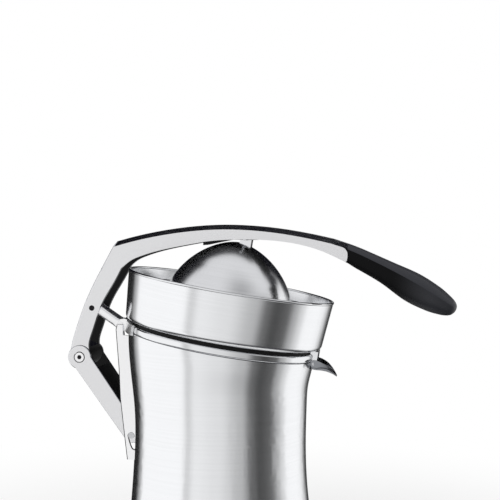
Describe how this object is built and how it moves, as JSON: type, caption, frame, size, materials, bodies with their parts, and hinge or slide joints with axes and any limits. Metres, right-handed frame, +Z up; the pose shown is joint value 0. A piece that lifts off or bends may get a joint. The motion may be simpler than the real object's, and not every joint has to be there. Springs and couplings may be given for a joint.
{
  "type": "citrus press juicer",
  "caption": "Electric citrus press: waisted steel body, forward-tilted juice bowl with spout, and a rear-hinged lever arm that swings a press dome over a driven cone.",
  "frame": {"origin": "on the counter, under the middle of the round body", "axes": "+X towards the spout and the grip, +Z up, +Y completes a right-handed frame"},
  "size_m": [0.3029, 0.1644, 0.2739],
  "materials": {
    "brushed_body": "satin brushed stainless sheet",
    "polished_steel": "polished stainless",
    "die_cast": "satin die-cast aluminium",
    "black_grip": "soft-touch black",
    "black_plastic": "fine matt moulded black",
    "dark_rubber": "matt rubber",
    "hard_steel": "machined steel",
    "bearing_bronze": "sintered bronze",
    "gear_plastic": "natural acetal",
    "motor_steel": "zinc-plated sheet"
  },
  "bodies": {
    "base": {"rubber_feet": "dark_rubber", "base_plate": "black_plastic", "base_trim": "polished_steel", "base_screws": "hard_steel", "body_shell": "brushed_body", "cord_gland": "black_plastic", "motor_deck": "black_plastic", "deck_screws": "hard_steel", "top_collar": "polished_steel", "bowl_seat": "dark_rubber", "juice_bowl": "brushed_body", "spout_pins": "hard_steel", "filter_basket": "brushed_body", "filter_wall": "brushed_body", "shaft_bush": "bearing_bronze", "shaft_seal": "dark_rubber", "cluster_axle": "hard_steel", "gearbox_housing": "black_plastic", "motor_can": "motor_steel", "motor_stator": "motor_steel", "rear_spine": "die_cast", "spine_backing": "motor_steel", "spine_screws": "hard_steel", "arm_switch": "black_plastic", "press_switch": "black_plastic", "hinge_bracket": "die_cast", "bracket_screws": "hard_steel", "hinge_pin": "hard_steel"},
    "arm": {"arm_frame": "die_cast", "arm_cover": "black_plastic", "dome_carrier": "black_plastic", "dome_pin": "hard_steel", "grip": "black_grip", "knuckle_screws": "hard_steel"},
    "dome": {"dome_shell": "brushed_body", "dome_stem": "polished_steel"},
    "link": {"lower_link": "die_cast", "link_cover": "black_plastic", "guide_pin": "hard_steel", "link_spacer": "hard_steel"},
    "spout_flap": {"spout": "polished_steel"},
    "rotor": {"motor_rotor": "motor_steel"},
    "cluster": {"gear_cluster": "gear_plastic"},
    "drive": {"drive_gear": "gear_plastic", "press_spring": "hard_steel"},
    "cone": {"drive_shaft": "hard_steel", "juicing_cone": "black_plastic"}
  },
  "joints": [
    {"name": "arm_lift", "type": "hinge", "parent": "base", "child": "arm", "pos_m": [-0.1007, 0, 0.208], "axis": [0, -1, 0], "range_deg": [0, 53.6]},
    {"name": "link_swing", "type": "hinge", "parent": "arm", "child": "link", "pos_m": [-0.11, 0, 0.1692], "axis": [0, -1, 0], "range_deg": [-81.31, 0]},
    {"name": "dome_swivel", "type": "hinge", "parent": "arm", "child": "dome", "pos_m": [0.02133, 0, 0.26318], "axis": [0, 1, 0], "range_deg": [-2, 2]},
    {"name": "spout_flip", "type": "hinge", "parent": "base", "child": "spout_flap", "pos_m": [0.07493, 0, 0.16606], "axis": [0, -1, 0], "range_deg": [0, 32]},
    {"name": "rotor_spin", "type": "hinge", "parent": "base", "child": "rotor", "pos_m": [0, 0, 0.174], "axis": [0.1685, 0, 0.9857], "continuous": true},
    {"name": "cluster_spin", "type": "hinge", "parent": "base", "child": "cluster", "pos_m": [0, 0.03, 0.174], "axis": [0.1685, 0, 0.9857], "continuous": true},
    {"name": "cone_spin", "type": "hinge", "parent": "base", "child": "drive", "pos_m": [0, 0, 0.174], "axis": [0.1685, 0, 0.9857], "continuous": true},
    {"name": "cone_press", "type": "slide", "parent": "drive", "child": "cone", "axis": [-0.1685, 0, -0.9857], "range_m": [0, 0.0025], "stiffness_N_per_m": 4000, "springref_m": -0.001, "deforming": ["press_spring"]}
  ],
  "couplings": [
    {"joint": "link_swing", "follows": "arm_lift", "ratio": -1.5168},
    {"joint": "cluster_spin", "follows": "rotor_spin", "ratio": -0.25},
    {"joint": "cone_spin", "follows": "rotor_spin", "ratio": 0.0625}
  ]
}
